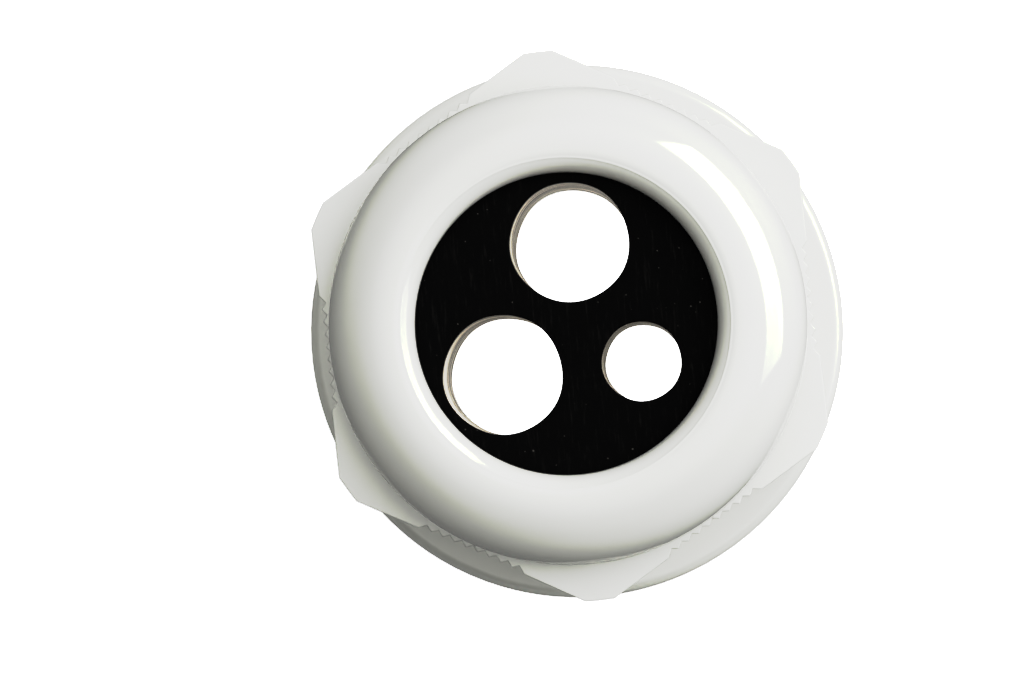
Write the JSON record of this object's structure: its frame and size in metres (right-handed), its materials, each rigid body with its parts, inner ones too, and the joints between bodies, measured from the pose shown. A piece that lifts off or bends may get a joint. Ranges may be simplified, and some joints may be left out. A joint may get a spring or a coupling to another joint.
{
  "type": "cable gland",
  "caption": "Plastic cable gland with a domed hexagonal cap nut, a multi-hole rubber insert, a collared body and a locknut on a threaded entry.",
  "frame": {"origin": "centre of the free end of the entry thread, where the gland stands upright", "axes": "+Z along the gland's axis, out of the cap nut's mouth; a corner of each hexagon points along +X, and the small cable hole is 3.1 degrees from it"},
  "size_m": [0.0522, 0.0522, 0.051],
  "materials": {
    "grey_nylon": "glossy moulded polyamide",
    "body_nylon": "satin moulded polyamide",
    "cage_nylon": "satin moulded polyamide",
    "slip_plastic": "smooth acetal",
    "black_rubber": "matt with fine cutting scratches",
    "gasket_rubber": "matt",
    "washer_steel": "zinc plated"
  },
  "bodies": {
    "housing": {"gland_body": "body_nylon", "clamping_cage": "cage_nylon", "seal_insert": "black_rubber", "entry_gasket": "gasket_rubber"},
    "cap_carrier": {"slip_ring": "slip_plastic"},
    "cap": {"dome_nut": "grey_nylon"},
    "washer_carrier": {"locknut_washer": "washer_steel"},
    "lock": {"locknut": "body_nylon"}
  },
  "joints": [
    {"name": "cap_slide", "type": "slide", "parent": "housing", "child": "cap_carrier", "axis": [0, 0, 1], "range_m": [0, 0.0075]},
    {"name": "cap_turn", "type": "hinge", "parent": "cap_carrier", "child": "cap", "pos_m": [0, 0, 0.0278], "axis": [0, 0, 1], "range_deg": [0, 1350]},
    {"name": "locknut_slide", "type": "slide", "parent": "housing", "child": "washer_carrier", "axis": [0, 0, -1], "range_m": [-0.0024, 0.0036]},
    {"name": "locknut_turn", "type": "hinge", "parent": "washer_carrier", "child": "lock", "pos_m": [0, 0, 0.005], "axis": [0, 0, -1], "range_deg": [-576, 864]}
  ],
  "couplings": [
    {"joint": "cap_turn", "follows": "cap_slide", "rad_per_m": 3141.6},
    {"joint": "locknut_turn", "follows": "locknut_slide", "rad_per_m": 4188.8}
  ]
}
